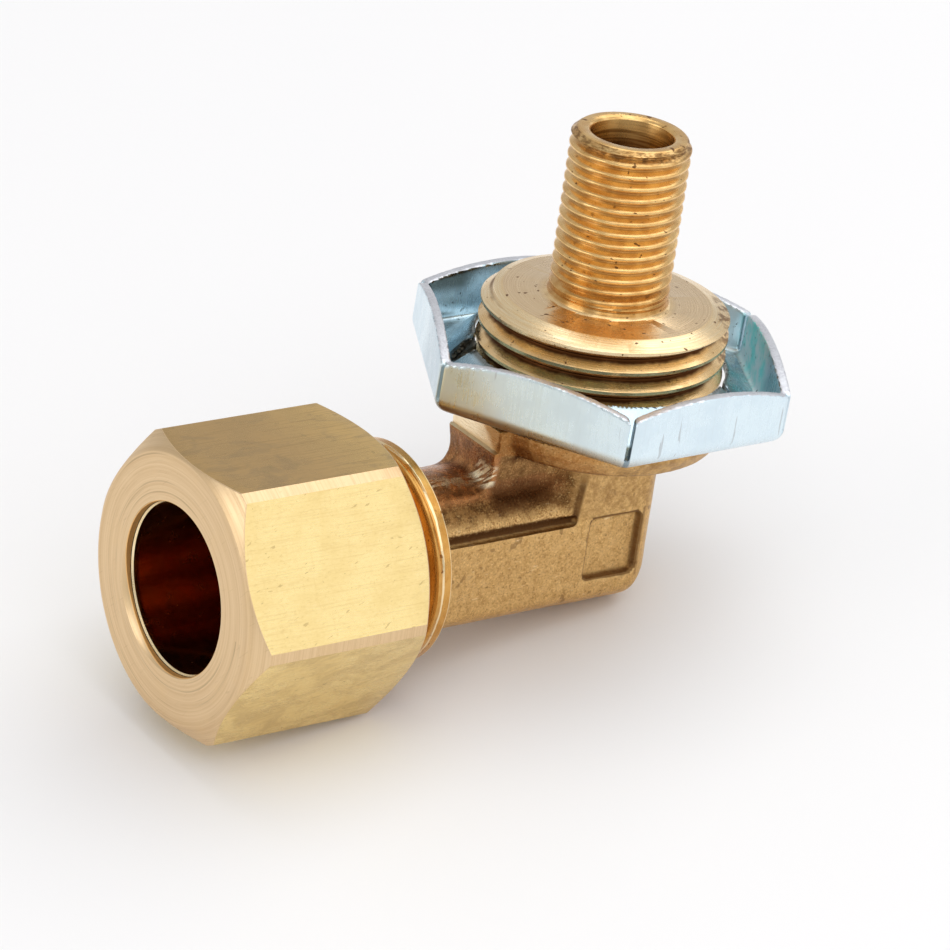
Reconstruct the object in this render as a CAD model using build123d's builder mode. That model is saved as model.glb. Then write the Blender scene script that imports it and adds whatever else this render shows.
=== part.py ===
from build123d import *
import math
import os

os.makedirs("parts", exist_ok=True)

# ---------------------------------------------------------------- dimensions (mm)
# Frame: origin at the centre of the collar's top face (where a panel seats),
# +Z along boss and nipple, -X towards the mouth of the compression nut.
axis_z = -10.05          # tube axis below the panel seat

# elbow, vertical leg
leg_r = 5.75             # vertical leg
flat_y = 4.9             # half width over the wrench flats
collar_r = 10.5         # flared collar, widest under the panel seat
collar_foot_r = 9.65
collar_flat_x = -10.7    # flat milled on the web's head beside the collar
collar_flat_z = -1.85    # its lower edge
collar_h = 2.25
boss_r = 9.5             # 3/4-16 over the crests
boss_h = 8.26
boss_face_r = 8.0
boss_cham_h = 0.5
nip_r = 4.58             # 3/8-27 over the crests
nip_h = 13.31
nip_rim_r = 4.12
nip_cham_h = 0.45
nip_bore_r = 3.13
nip_foot = 0.3

# elbow, horizontal leg
low_r = 6.6              # round underside of the horizontal leg
low_top = 2.0            # top of the wrench flat above the tube axis
crown_r = 4.5            # round top of the horizontal leg
crown_z = 1.2
end_round = 3.6          # lower outer corner of the elbow
rib_half = 2.95          # web in the inner corner
rib_x = -11.0
rib_round = 2.0
rib_foot = axis_z + 4.8  # foot of the web's hollow on the crown
rib_soft = 0.5           # rounded outer edges of the web
forge_fillet = 0.5       # fillets in the inner corners
flat_edge = 0.25
groove_r = 0.38

# panel recessed in the wrench flat
rec_w, rec_h = 4.9, 5.2
rec_x, rec_z = 0.15, -0.45
rec_depth = 0.35
rec_corner = 0.55

# male compression end
ring_x = -17.6           # rear face of the threaded end
male_x = -28.0           # front end of the threaded end
male_r = 8.53            # 11/16-20 over the crests
seat_r = 7.55
socket_r = 6.42          # 1/2 in. tube
socket_x = -20.2
way_r = 3.2

# compression nut
nut_af = 20.64
nut_corner_r = 11.67
nut_front = -36.57
nut_rear = -20.85
nut_face_r = 10.2
nut_cham = 1.05
nut_turn = 1.4           # degrees about the tube axis
nut_bore_r = 6.42
nut_land = 0.55          # short land at the mouth, a cone for the sleeve behind it
nut_thread_r = 8.61
nut_entry = 0.06

# compression sleeve
slv_front = -35.6
slv_rear = -27.3
slv_in_r = 6.42
slv_out_r = 7.45
slv_tip = 0.32           # wall at the two tapered tips

# lock nut (sheet steel)
ln_af = 26.7
ln_t = 0.75
ln_z = 0.775             # underside at the boss axis
ln_mid = 5.0             # wall height at mid flat
ln_corner = 4.0          # wall height at the corners
ln_bend = 1.2
ln_turn = 2.05           # a corner's angle from +X
ln_hole_r = 9.58
ln_seam = 0.45
ln_seam_z = 0.95
ln_dish_r = 12.2         # foot of the dished jaws
ln_lip = 3.0             # top of the jaws at the hole
ln_lip_t = 0.95          # their upright thickness there
ln_slit_w = 0.9
ln_slit_r = 10.8
ln_slits = (155.0, 306.5)
ln_tilt = (0.021, -0.018, 1.0)

# ---------------------------------------------------------------- elbow body
# round-ended lower leg, clipped by the two wrench flats
with BuildPart() as lower:
    with BuildSketch(Plane.YZ.offset(ring_x)):
        with Locations((0, axis_z)):
            Circle(low_r)
            Rectangle(2 * flat_y, 4 * low_r, mode=Mode.INTERSECT)
        with Locations((0, axis_z + low_top)):
            Rectangle(4 * low_r, 4 * low_r, align=(Align.CENTER, Align.MIN), mode=Mode.SUBTRACT)
    extrude(amount=-ring_x)

with BuildPart() as corner:
    with BuildSketch(Plane.XY.offset(axis_z - low_r)):
        Circle(leg_r)
    extrude(amount=low_r - axis_z - collar_h + 0.2)
    fillet(corner.faces().sort_by(Axis.Z)[0].edges(), end_round)
    with BuildSketch(Plane.YZ.offset(-leg_r - 1)):
        with Locations((0, axis_z)):
            Circle(low_r)
        with Locations((0, axis_z)):
            Rectangle(4 * low_r, 4 * low_r, align=(Align.CENTER, Align.MIN))
    extrude(amount=2 * leg_r + 2, mode=Mode.INTERSECT)
    with BuildSketch(Plane.XY.offset(axis_z - low_r - 1)):
        Rectangle(4 * leg_r, 2 * flat_y)
    extrude(amount=40, mode=Mode.INTERSECT)

with BuildPart() as elbow_body:
    add(lower.part)
    add(corner.part)
    # round crown of the horizontal leg
    with BuildSketch(Plane.YZ.offset(ring_x)):
        with Locations((0, axis_z + crown_z)):
            Circle(crown_r)
    extrude(amount=-ring_x)
    # web in the inner corner, hollow towards the tube end
    with BuildSketch(Plane.XZ.offset(-rib_half)):
        with BuildLine():
            Polyline((0, -0.1), (collar_flat_x, -0.1), (collar_flat_x, collar_flat_z), (rib_x, collar_flat_z), (rib_x, rib_foot + rib_round))
            ThreePointArc(
                (rib_x, rib_foot + rib_round),
                (rib_x - rib_round * (1 - math.sqrt(0.5)), rib_foot + rib_round * (1 - math.sqrt(0.5))),
                (rib_x - rib_round, rib_foot),
            )
            Line((rib_x - rib_round, rib_foot), (rib_x - rib_round, axis_z))
            Line((rib_x - rib_round, axis_z), (0, axis_z))
            Line((0, axis_z), (0, -0.1))
        make_face()
    extrude(amount=2 * rib_half)
    # forged fillets and softened edges
    fillet(elbow_body.edges().filter_by(GeomType.CIRCLE).filter_by(
        lambda e: abs(abs(e.center().Y) - rib_half) < 0.02 and e.center().X < rib_x), rib_soft)
    fillet(elbow_body.edges().filter_by(GeomType.LINE).filter_by(
        lambda e: abs(abs(e.center().Y) - rib_half) < 0.02 and e.bounding_box().size.Z < 0.01
        and e.bounding_box().max.Z < -collar_h - 0.5), forge_fillet)
    fillet(elbow_body.edges().filter_by(
        lambda e: abs(abs(e.center().Y) - rib_half) < 0.02 and e.bounding_box().size.X < 0.01
        and e.bounding_box().max.Z > -collar_h - 1), forge_fillet)
    fillet(elbow_body.edges().filter_by(
        lambda e: abs(abs(e.center().Y) - flat_y) < 0.02 and e.bounding_box().size.X > 10
        and abs(e.center().Z - axis_z - low_top) < 0.02), flat_edge)
    # collar, boss and nipple
    with BuildSketch(Plane.XZ) as stem:
        with BuildLine():
            Polyline(
                (0, -collar_h), (collar_foot_r, -collar_h), (collar_r - 0.1, -1.0), (collar_r, -0.2),
                (collar_r - 0.2, 0), (boss_r, 0), (boss_r, boss_h - boss_cham_h), (boss_face_r, boss_h),
                (nip_r + nip_foot, boss_h), (nip_r, boss_h + nip_foot), (nip_r, boss_h + nip_h - nip_cham_h),
                (nip_rim_r, boss_h + nip_h), (0, boss_h + nip_h), (0, -collar_h),
            )
        make_face()
    revolve(axis=Axis.Z)
    # male compression end
    with BuildSketch(Plane.XZ) as male:
        with BuildLine():
            Polyline(
                (male_x, axis_z), (male_x, axis_z + male_r - 0.6), (male_x + 0.6, axis_z + male_r),
                (ring_x - 0.12, axis_z + male_r), (ring_x, axis_z + male_r - 0.12), (ring_x, axis_z), (male_x, axis_z),
            )
        make_face()
    revolve(axis=Axis((0, 0, axis_z), (1, 0, 0)))
    # groove along the upper edge of each wrench flat
    with BuildSketch(Plane.YZ.offset(ring_x)):
        with Locations((-flat_y + 0.32, axis_z + low_top + 0.18), (flat_y - 0.32, axis_z + low_top + 0.18)):
            Circle(groove_r)
    extrude(amount=-ring_x - 3.6, mode=Mode.SUBTRACT)
    # bare recessed panel
    with BuildSketch(Plane.XZ.offset(flat_y - rec_depth)):
        with Locations((rec_x, axis_z + rec_z)):
            RectangleRounded(rec_w, rec_h, rec_corner)
    extrude(amount=2, mode=Mode.SUBTRACT)
    # bores
    with BuildSketch(Plane.XZ) as wet:
        with BuildLine():
            Polyline(
                (male_x, axis_z), (male_x, axis_z + seat_r), (male_x + seat_r - socket_r, axis_z + socket_r),
                (socket_x, axis_z + socket_r), (socket_x, axis_z + way_r), (1.2, axis_z + way_r),
                (1.2 + way_r * 0.6, axis_z), (male_x, axis_z),
            )
        make_face()
    revolve(axis=Axis((0, 0, axis_z), (1, 0, 0)), mode=Mode.SUBTRACT)
    with BuildSketch(Plane.XY.offset(axis_z)):
        Circle(nip_bore_r)
    extrude(amount=boss_h + nip_h - axis_z, mode=Mode.SUBTRACT)

elbow_body.part.label = "elbow_body"
export_step(elbow_body.part, "parts/elbow_body.step")

# ---------------------------------------------------------------- compression nut
with BuildPart() as compression_nut:
    with BuildSketch(Plane.YZ.offset(nut_front)):
        with Locations((0, axis_z)):
            RegularPolygon(nut_af / 2, 6, major_radius=False, rotation=nut_turn)
    extrude(amount=nut_rear - nut_front)
    with BuildSketch(Plane.XZ):
        with BuildLine():
            Polyline(
                (nut_front, axis_z), (nut_front, axis_z + nut_face_r), (nut_front + nut_cham, axis_z + nut_corner_r),
                (nut_rear - nut_cham, axis_z + nut_corner_r), (nut_rear, axis_z + nut_face_r), (nut_rear, axis_z),
                (nut_front, axis_z),
            )
        make_face()
    revolve(axis=Axis((0, 0, axis_z), (1, 0, 0)), mode=Mode.INTERSECT)
    with BuildSketch(Plane.XZ):
        with BuildLine():
            Polyline(
                (nut_front, axis_z), (nut_front, axis_z + nut_bore_r + nut_entry),
                (nut_front + nut_entry, axis_z + nut_bore_r), (nut_front + nut_land, axis_z + nut_bore_r),
                (nut_front + nut_land + nut_thread_r - nut_bore_r, axis_z + nut_thread_r),
                (nut_rear - 0.5, axis_z + nut_thread_r), (nut_rear, axis_z + nut_thread_r + 0.5),
                (nut_rear, axis_z), (nut_front, axis_z),
            )
        make_face()
    revolve(axis=Axis((0, 0, axis_z), (1, 0, 0)), mode=Mode.SUBTRACT)

compression_nut.part.label = "compression_nut"
export_step(compression_nut.part, "parts/compression_nut.step")

# ---------------------------------------------------------------- compression sleeve
slv_rise = slv_out_r - slv_in_r - slv_tip
with BuildPart() as compression_sleeve:
    with BuildSketch(Plane.XZ):
        with BuildLine():
            Polyline(
                (slv_front, axis_z + slv_in_r), (slv_front, axis_z + slv_in_r + slv_tip),
                (slv_front + slv_rise, axis_z + slv_out_r), (slv_rear - slv_rise, axis_z + slv_out_r),
                (slv_rear, axis_z + slv_in_r + slv_tip), (slv_rear, axis_z + slv_in_r), (slv_front, axis_z + slv_in_r),
            )
        make_face()
    revolve(axis=Axis((0, 0, axis_z), (1, 0, 0)))

compression_sleeve.part.label = "compression_sleeve"
export_step(compression_sleeve.part, "parts/compression_sleeve.step")

# ---------------------------------------------------------------- lock nut
# sits slightly askew, as a loose sheet nut does on one turn of thread
ln_plane = Plane(origin=(0, 0, ln_z), x_dir=(1, 0, -ln_tilt[0]), z_dir=ln_tilt)
ln_side = ln_af / math.sqrt(3)
ln_arch = ((ln_side / 2) ** 2 + (ln_mid - ln_corner) ** 2) / (2 * (ln_mid - ln_corner))

with BuildPart() as lock_nut:
    with BuildSketch(ln_plane):
        RegularPolygon(ln_af / 2, 6, major_radius=False, rotation=ln_turn)
    extrude(amount=ln_mid + 1)
    fillet(lock_nut.faces().sort_by(Axis.Z)[0].edges(), ln_bend)
    with BuildSketch(ln_plane.offset(ln_t)):
        RegularPolygon(ln_af / 2 - ln_t, 6, major_radius=False, rotation=ln_turn)
    extrude(amount=ln_mid + 3, mode=Mode.SUBTRACT)
    # dished jaws that rise to the thread, with relief slits
    with BuildSketch(ln_plane.offset(-1)):
        Circle(ln_dish_r)
    extrude(amount=3, mode=Mode.SUBTRACT)
    with BuildSketch(Plane(origin=ln_plane.origin, x_dir=ln_plane.x_dir, z_dir=-ln_plane.y_dir)):
        with BuildLine():
            Polyline((ln_dish_r, 0), (ln_dish_r, ln_t), (ln_hole_r, ln_lip), (ln_hole_r, ln_lip - ln_lip_t), (ln_dish_r, 0))
        make_face()
    revolve(axis=Axis(ln_plane.origin, ln_plane.z_dir))
    with BuildSketch(ln_plane.offset(0.5)):
        for a in ln_slits:
            with Locations(Location((0, 0), a)):
                with Locations((ln_slit_r - 2.0, 0)):
                    SlotOverall(4.0, ln_slit_w)
    extrude(amount=3, mode=Mode.SUBTRACT)
    # arched tops of the six walls
    for i in range(6):
        c, s = math.cos(math.radians(60 * i + ln_turn)), math.sin(math.radians(60 * i + ln_turn))
        wall = Plane(origin=ln_plane.origin, x_dir=ln_plane.x_dir * c + ln_plane.y_dir * s,
                     z_dir=ln_plane.y_dir * c - ln_plane.x_dir * s)
        with BuildSketch(wall.offset(ln_af / 2 - ln_t - 0.6)):
            with BuildLine():
                h = ln_side / 2 + 0.02
                ThreePointArc((-h, -ln_corner), (0, -ln_mid), (h, -ln_corner))
                Polyline((h, -ln_corner), (h, -ln_mid - 2), (-h, -ln_mid - 2), (-h, -ln_corner))
            make_face()
        extrude(amount=ln_t + 1.2, mode=Mode.SUBTRACT)
    # open seams between neighbouring walls
    for i in range(6):
        with BuildSketch(ln_plane.offset(ln_seam_z)):
            with Locations(Location((0, 0), 60 * i + ln_turn)):
                with Locations((ln_side, 0)):
                    Rectangle(4.0, ln_seam)
        extrude(amount=ln_mid, mode=Mode.SUBTRACT)

lock_nut.part.label = "lock_nut"
export_step(lock_nut.part, "parts/lock_nut.step")
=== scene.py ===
import math

import bpy
import numpy as np
from mathutils import Matrix, Vector, noise


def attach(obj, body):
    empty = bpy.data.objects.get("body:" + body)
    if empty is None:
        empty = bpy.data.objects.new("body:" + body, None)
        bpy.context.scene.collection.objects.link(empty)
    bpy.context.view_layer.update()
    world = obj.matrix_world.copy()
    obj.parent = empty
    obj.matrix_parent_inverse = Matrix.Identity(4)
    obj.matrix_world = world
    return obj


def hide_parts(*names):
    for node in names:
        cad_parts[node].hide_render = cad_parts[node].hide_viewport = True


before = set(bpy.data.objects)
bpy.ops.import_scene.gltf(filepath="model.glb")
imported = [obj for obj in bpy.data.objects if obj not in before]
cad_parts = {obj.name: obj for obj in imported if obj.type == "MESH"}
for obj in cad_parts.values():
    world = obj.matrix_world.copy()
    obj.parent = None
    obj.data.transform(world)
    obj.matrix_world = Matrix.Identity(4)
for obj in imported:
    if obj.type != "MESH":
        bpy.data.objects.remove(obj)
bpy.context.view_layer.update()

MM = 0.001
AX = -10.05                     # tube axis, in mm below the panel seat
RING_X, MALE_X = -17.6, -28.0   # threaded compression end
NUT_FRONT, NUT_REAR = -36.57, -20.85

# ============================================================ mesh helpers


def make_object(name, verts, faces):
    """A mesh object from points in mm and faces."""
    me = bpy.data.meshes.new(name)
    me.from_pydata((np.asarray(verts, float) * MM).tolist(), [], [list(map(int, f)) for f in faces])
    me.update()
    ob = bpy.data.objects.new(name, me)
    bpy.context.scene.collection.objects.link(ob)
    return ob


def boolean(ob, other, op):
    """ob = ob (op) other, both closed; other is used up."""
    mod = ob.modifiers.new("cut", "BOOLEAN")
    mod.operation, mod.solver, mod.object = op, "MANIFOLD", other
    dg = bpy.context.evaluated_depsgraph_get()
    me = bpy.data.meshes.new_from_object(ob.evaluated_get(dg))
    ob.modifiers.clear()
    old = ob.data
    ob.data = me
    bpy.data.meshes.remove(old)
    bpy.data.objects.remove(other)
    return ob


def smooth(ob, degrees):
    me = ob.data
    me.polygons.foreach_set("use_smooth", np.ones(len(me.polygons), bool))
    me.set_sharp_from_angle(angle=math.radians(degrees))
    me.update()


def coords(ob):
    co = np.zeros(len(ob.data.vertices) * 3)
    ob.data.vertices.foreach_get("co", co)
    return co.reshape(-1, 3) / MM


def centres(ob):
    co = np.zeros(len(ob.data.polygons) * 3)
    ob.data.polygons.foreach_get("center", co)
    return co.reshape(-1, 3) / MM


def normals(ob):
    co = np.zeros(len(ob.data.polygons) * 3)
    ob.data.polygons.foreach_get("normal", co)
    return co.reshape(-1, 3)


def revolve(name, profile, axis, n=160, centre=0.0):
    """A closed ring-shaped or solid body from a closed profile of (along, radius) points, about Z at the origin or about X at the tube axis.
    Points on the axis become one vertex."""
    verts, rings = [], []
    for a, r in profile:
        if r < 1e-6:
            verts.append((0, 0, a) if axis == "Z" else (a, 0, centre))
            rings.append([len(verts) - 1] * n)
        else:
            ring = []
            for i in range(n):
                t = 2 * math.pi * i / n
                verts.append((r * math.cos(t), r * math.sin(t), a) if axis == "Z" else (a, r * math.cos(t), centre + r * math.sin(t)))
                ring.append(len(verts) - 1)
            rings.append(ring)
    faces = []
    m = len(rings)
    for j in range(m):
        a, b = rings[j], rings[(j + 1) % m]
        if a[0] == a[-1] and b[0] == b[-1]:
            continue
        for i in range(n):
            k = (i + 1) % n
            f = []
            for v in (a[i], a[k], b[k], b[i]):
                if v not in f:
                    f.append(v)
            faces.append(f)
    return outward(make_object(name, verts, faces))


def outward(ob):
    """Face normals out of a closed mesh."""
    me = ob.data
    me.calc_loop_triangles()
    co = coords(ob)
    tri = np.array([t.vertices[:] for t in me.loop_triangles])
    vol = np.einsum("ij,ij->i", co[tri[:, 0]], np.cross(co[tri[:, 1]], co[tri[:, 2]])).sum()
    if vol < 0:
        me.flip_normals()
    return ob


def threaded_rod(name, lo, hi, pitch, shape, radius, phase, n=144):
    """A closed rod with a right-hand helical thread about Z. shape is one pitch of the profile as (share of pitch from crest centre, depth share);
    radius(theta, z, depth share) gives the radius. Rows follow the helix, so crests stay crisp."""
    m = len(shape)
    k0 = math.floor((lo - phase) / pitch) - 1
    k1 = math.ceil((hi - phase) / pitch) + 1
    rows = [(phase + pitch * (k + u), d) for k in range(k0, k1) for u, d in shape]
    th = 2 * math.pi * np.arange(n + 1) / n
    verts, index = [], {}
    J = len(rows)
    for j, (s, d) in enumerate(rows):
        for i in range(n + 1):
            if i == n and j + m < J:
                continue                      # same point as the row one pitch up
            z = s + pitch * i / n
            r = radius(th[i] % (2 * math.pi), z, d)
            index[j, i] = len(verts)
            verts.append((r * math.cos(th[i]), r * math.sin(th[i]), z))
    for j in range(J):
        if (j, n) not in index:
            index[j, n] = index[j + m, 0]
    faces = []
    for j in range(J - 1):
        for i in range(n):
            faces.append((index[j, i], index[j, i + 1], index[j + 1, i + 1], index[j + 1, i]))
    # closing fans at both ends
    top = [index[J - 1, i] for i in range(n + 1)] + [index[j, n] for j in range(J - 2, J - 1 - m, -1)]
    bot = [index[0, i] for i in range(n + 1)] + [index[j, 0] for j in range(m - 1, 0, -1)]
    for loop, end, flip in ((top, rows[-1][0] + pitch / 2, False), (bot, rows[0][0] + pitch / 2, True)):
        c = len(verts)
        verts.append((0, 0, end))
        q = len(loop)
        for a in range(q):
            u, v = loop[a], loop[(a + 1) % q]
            if u != v:
                faces.append((v, u, c) if flip else (u, v, c))
    return outward(make_object(name, verts, faces))


def nets(fn, lo, hi, h):
    """Closed quad mesh of fn(x, y, z) = 0, fn negative inside, with its points pulled onto the surface."""
    lo, hi = np.array(lo, float), np.array(hi, float)
    ax = [lo[k] + h * np.arange(int(math.ceil((hi[k] - lo[k]) / h)) + 1) for k in range(3)]
    D = fn(ax[0][:, None, None], ax[1][None, :, None], ax[2][None, None, :])
    D = np.broadcast_to(D, [len(a) for a in ax]).astype(np.float64)
    S = D < 0
    corner = [(i, j, k) for i in (0, 1) for j in (0, 1) for k in (0, 1)]
    n = [len(a) - 1 for a in ax]
    count = sum(S[i:i + n[0], j:j + n[1], k:k + n[2]].astype(np.int8) for i, j, k in corner)
    cell = np.argwhere((count > 0) & (count < 8))
    index = -np.ones(n, np.int64)
    index[tuple(cell.T)] = np.arange(len(cell))
    acc, cnt = np.zeros((len(cell), 3)), np.zeros(len(cell))
    for a in corner:
        for k in range(3):
            if a[k]:
                continue
            b = tuple(1 if q == k else a[q] for q in range(3))
            da = D[tuple((cell + a).T)]
            db = D[tuple((cell + b).T)]
            hit = (da < 0) != (db < 0)
            t = np.where(hit, da / np.where(hit, da - db, 1), 0)
            p = np.array(a, float) + t[:, None] * (np.array(b, float) - np.array(a, float))
            acc[hit] += p[hit]
            cnt[hit] += 1
    V = lo + h * (cell + acc / cnt[:, None])
    faces = []
    for k in range(3):
        b, c = (k + 1) % 3, (k + 2) % 3
        s0 = [slice(None)] * 3
        s1 = [slice(None)] * 3
        s0[k], s1[k] = slice(0, -1), slice(1, None)
        change = S[tuple(s0)] != S[tuple(s1)]
        e = np.argwhere(change)
        e = e[(e[:, b] > 0) & (e[:, c] > 0) & (e[:, b] < n[b]) & (e[:, c] < n[c])]
        inside = S[tuple(e.T)]
        q = []
        for db, dc in ((-1, -1), (0, -1), (0, 0), (-1, 0)):
            o = e.copy()
            o[:, b] += db
            o[:, c] += dc
            q.append(index[tuple(o.T)])
        q = np.stack(q, 1)
        q[~inside] = q[~inside][:, ::-1]
        faces.append(q)
    faces = np.concatenate(faces)
    for _ in range(3):
        e = 0.004
        x, y, z = V.T
        d = fn(x, y, z)
        g = np.stack([fn(x + e, y, z) - fn(x - e, y, z), fn(x, y + e, z) - fn(x, y - e, z), fn(x, y, z + e) - fn(x, y, z - e)], 1) / (2 * e)
        g2 = np.maximum((g * g).sum(1), 0.25)
        V = V - np.clip(d / g2, -0.08, 0.08)[:, None] * g
    return V, faces


def smin(a, b, k):
    h = np.maximum(k - np.abs(a - b), 0) / k
    return np.minimum(a, b) - h * h * k * 0.25


def smax(a, b, k):
    return -smin(-a, -b, k)


def fbm(p, octaves=3):
    return noise.fractal(Vector(p), 1.0, 2.0, octaves, noise_basis="PERLIN_ORIGINAL")


# ============================================================ elbow: forged part
def forging(x, y, z):
    zr = z - AX
    ay = np.abs(y)
    rho = np.hypot(x, y)
    # horizontal leg: round underside up to the ledge, and round crown
    span = np.maximum(x, RING_X - 0.5 - x)
    low = smax(np.hypot(y, zr) - 6.6, zr - 2.0, 0.35)
    low = np.maximum(low, span)
    crown = np.maximum(np.hypot(y, zr - 1.2) - 4.5, span)
    # vertical leg with its rounded lower end
    q1, q2 = np.hypot(np.where(x < 0, x * 0.93, x), y) - (5.75 - 3.6), -zr - (6.6 - 3.6)
    leg = np.hypot(np.maximum(q1, 0), np.maximum(q2, 0)) + np.minimum(np.maximum(q1, q2), 0) - 3.6
    under = np.where(zr < 0, np.hypot(y, zr) - 6.6, ay - 6.6)
    leg = smax(leg, under, 0.3)
    leg = np.maximum(leg, z + 1.4)
    # web in the inner corner, hollow towards the tube end
    r = 2.0
    a, b = -11.0 - x - 0.12 * np.clip(z + 2.0, -3.0, 0.0), z - (AX + 4.8)
    prof = np.maximum(r, np.minimum(a, b)) - np.hypot(np.maximum(r - a, 0), np.maximum(r - b, 0))
    web = smax(prof, ay - 2.78 - 0.08 * np.clip(z + 5.0, 0, 3.5), 0.22)
    web = smax(web, -np.maximum(x + 10.7, -1.85 - z), 0.04)
    web = np.maximum(np.maximum(web, span), np.maximum(z + 0.15, AX - z))
    body = np.minimum(low, leg)
    inner = smin(crown, leg, 1.3)
    inner = smin(inner, web, 0.45)
    body = smin(body, inner, 0.08)
    # wrench flats
    body = smax(body, ay - 4.9, 0.3)
    # flared collar
    rc = 9.65 + np.clip(z + 2.25, 0, 1.25) * 0.6 + np.clip(z + 1.0, 0, 0.8) * 0.125
    col = smax((rho - rc) * 0.88, np.abs(z + 1.125) - 1.125, 0.3)
    body = smin(body, col, 0.6)
    # groove along the upper edge of each flat
    gx = np.maximum(x + 3.9, 0)
    gr = np.sqrt((ay - 4.62) ** 2 + (zr - 2.2) ** 2 + gx ** 2) - 0.40
    body = smax(body, -gr, 0.15)
    # and on up the edge of the upright leg
    t = np.clip((zr - 2.2) / 4.0, 0, 1)
    gr = np.hypot(x + 3.95 - 0.5 * t, ay - 4.95) - 0.26 * (1 - 0.6 * t) + np.maximum(2.1 - zr, 0) + np.maximum(zr - 6.4, 0)
    body = smax(body, -gr, 0.12)
    # recessed panel
    w, hgt, c = 2.45, 2.6, 0.55
    px, pz = np.abs(x - 0.15) - (w - c), np.abs(zr + 0.45) - (hgt - c)
    pan = np.hypot(np.maximum(px, 0), np.maximum(pz, 0)) + np.minimum(np.maximum(px, pz), 0) - c
    pan = smax(pan + (y + 4.9) * 0.35, y + 4.42, 0.12)
    body = smax(body, -pan, 0.16)
    return body


H = 0.2
V, F = nets(forging, (-18.5, -10.9, -17.0), (10.9, 10.9, 0.4), H)
# unevenness of the forging
e = 0.01
x, y, z = V.T
g = np.stack([forging(x + e, y, z) - forging(x - e, y, z), forging(x, y + e, z) - forging(x, y - e, z), forging(x, y, z + e) - forging(x, y, z - e)], 1)
g /= np.maximum(np.linalg.norm(g, axis=1), 1e-9)[:, None]
amp = np.where((x < -10.6) & (np.abs(g[:, 0]) > 0.97) & (z > -1.9), 0.0, 1.0)
for i in range(len(V)):
    p = V[i]
    V[i] = p + g[i] * amp[i] * (0.030 * fbm((p[0] * 0.45 + 3.1, p[1] * 0.45, p[2] * 0.45), 3) + 0.012 * fbm((p[0] * 2.3, p[1] * 2.3 + 7.7, p[2] * 2.3), 2))
elbow = outward(make_object("elbow_finish", V, F))

# ============================================================ elbow: turned stem
# boss thread, 16 to the inch
P_B = 1.5875
CREST, ROOT = 9.5, 8.56
shape_b = [(-0.10, 0.06), (-0.075, 0.0), (0.0, 0.0), (0.075, 0.0), (0.10, 0.06), (0.20, 0.31), (0.30, 0.57), (0.40, 0.83), (0.455, 0.96), (0.50, 1.0), (0.545, 0.96), (0.60, 0.83), (0.70, 0.57), (0.80, 0.31)]


def boss_r(t, z, d):
    return CREST - (CREST - ROOT) * d * min(max((z + 0.2) / 0.8, 0), 1) ** 0.5


boss = threaded_rod("boss", -1.0, 8.6, P_B, shape_b, boss_r, 4.845 + 0.12, 192)
env = revolve("boss_env", [(-0.9, 0), (-0.9, 11), (7.70, 11), (7.70, 9.6), (7.765, 9.51), (7.80, 9.42), (8.20, 8.13), (8.235, 8.05), (8.262, 7.93), (8.262, 0)], "Z", 192)
boolean(boss, env, "INTERSECT")

# nipple thread, 27 to the inch
P_N = 0.925
N_CREST, N_ROOT = 4.58, 4.06
shape_n = [(-0.13, 0.09), (-0.075, 0.0), (0.0, -0.012), (0.075, 0.0), (0.13, 0.09), (0.22, 0.34), (0.32, 0.63), (0.42, 0.91), (0.50, 1.0), (0.58, 0.91), (0.68, 0.63), (0.78, 0.34)]


def nip_r(t, z, d):
    foot = 0.32 - (z - 8.26)
    r = N_CREST - (N_CREST - N_ROOT) * d * min(max((z - 9.0) / 1.0, 0), 1) ** 0.6
    if z < 9.0:
        r -= 0.10 * min(max((z - 8.55) / 0.2, 0), 1) * (1 - min(max((z - 8.85) / 0.15, 0), 1))
    if 0 < foot <= 0.32:
        r = max(r, N_CREST + 0.32 - math.sqrt(max(0.32 ** 2 - foot ** 2, 0)))
    elif foot > 0.32:
        r = N_CREST + 0.32
    return r


nipple = threaded_rod("nipple", 7.4, 22.2, P_N, shape_n, nip_r, 0.463, 132)
env = revolve("nip_env", [(7.6, 0), (7.6, 6), (20.9, 6), (20.9, 4.70), (21.10, 4.56), (21.50, 4.16), (21.545, 4.10), (21.568, 4.02), (21.568, 0)], "Z", 132)
boolean(nipple, env, "INTERSECT")

# threaded compression end, 20 to the inch, built about Z and laid along X
P_M = 1.27
shape_m = [(-0.10, 0.05), (-0.07, 0.0), (0.07, 0.0), (0.10, 0.05), (0.22, 0.34), (0.34, 0.66), (0.45, 0.95), (0.50, 1.0), (0.55, 0.95), (0.66, 0.66), (0.78, 0.34)]


def male_r(t, z, d):
    # z runs from the ring's rear face towards the mouth
    return 8.53 - 0.72 * d * min(max((z - 0.80) / 0.4, 0), 1) ** 0.7


male = threaded_rod("male", -0.8, 11.2, P_M, shape_m, male_r, 0.15, 160)
env = revolve("male_env", [(0, 0), (0, 8.44), (0.07, 8.515), (0.16, 8.6), (0.3, 9.5), (9.7, 9.5), (9.7, 8.6), (10.4, 7.9), (10.4, 0)], "Z", 160)
boolean(male, env, "INTERSECT")
male.data.transform(Matrix.Translation((RING_X * MM, 0, AX * MM)) @ Matrix(((0, 0, -1, 0), (0, 1, 0, 0), (1, 0, 0, 0), (0, 0, 0, 1))))
outward(male)

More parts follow.
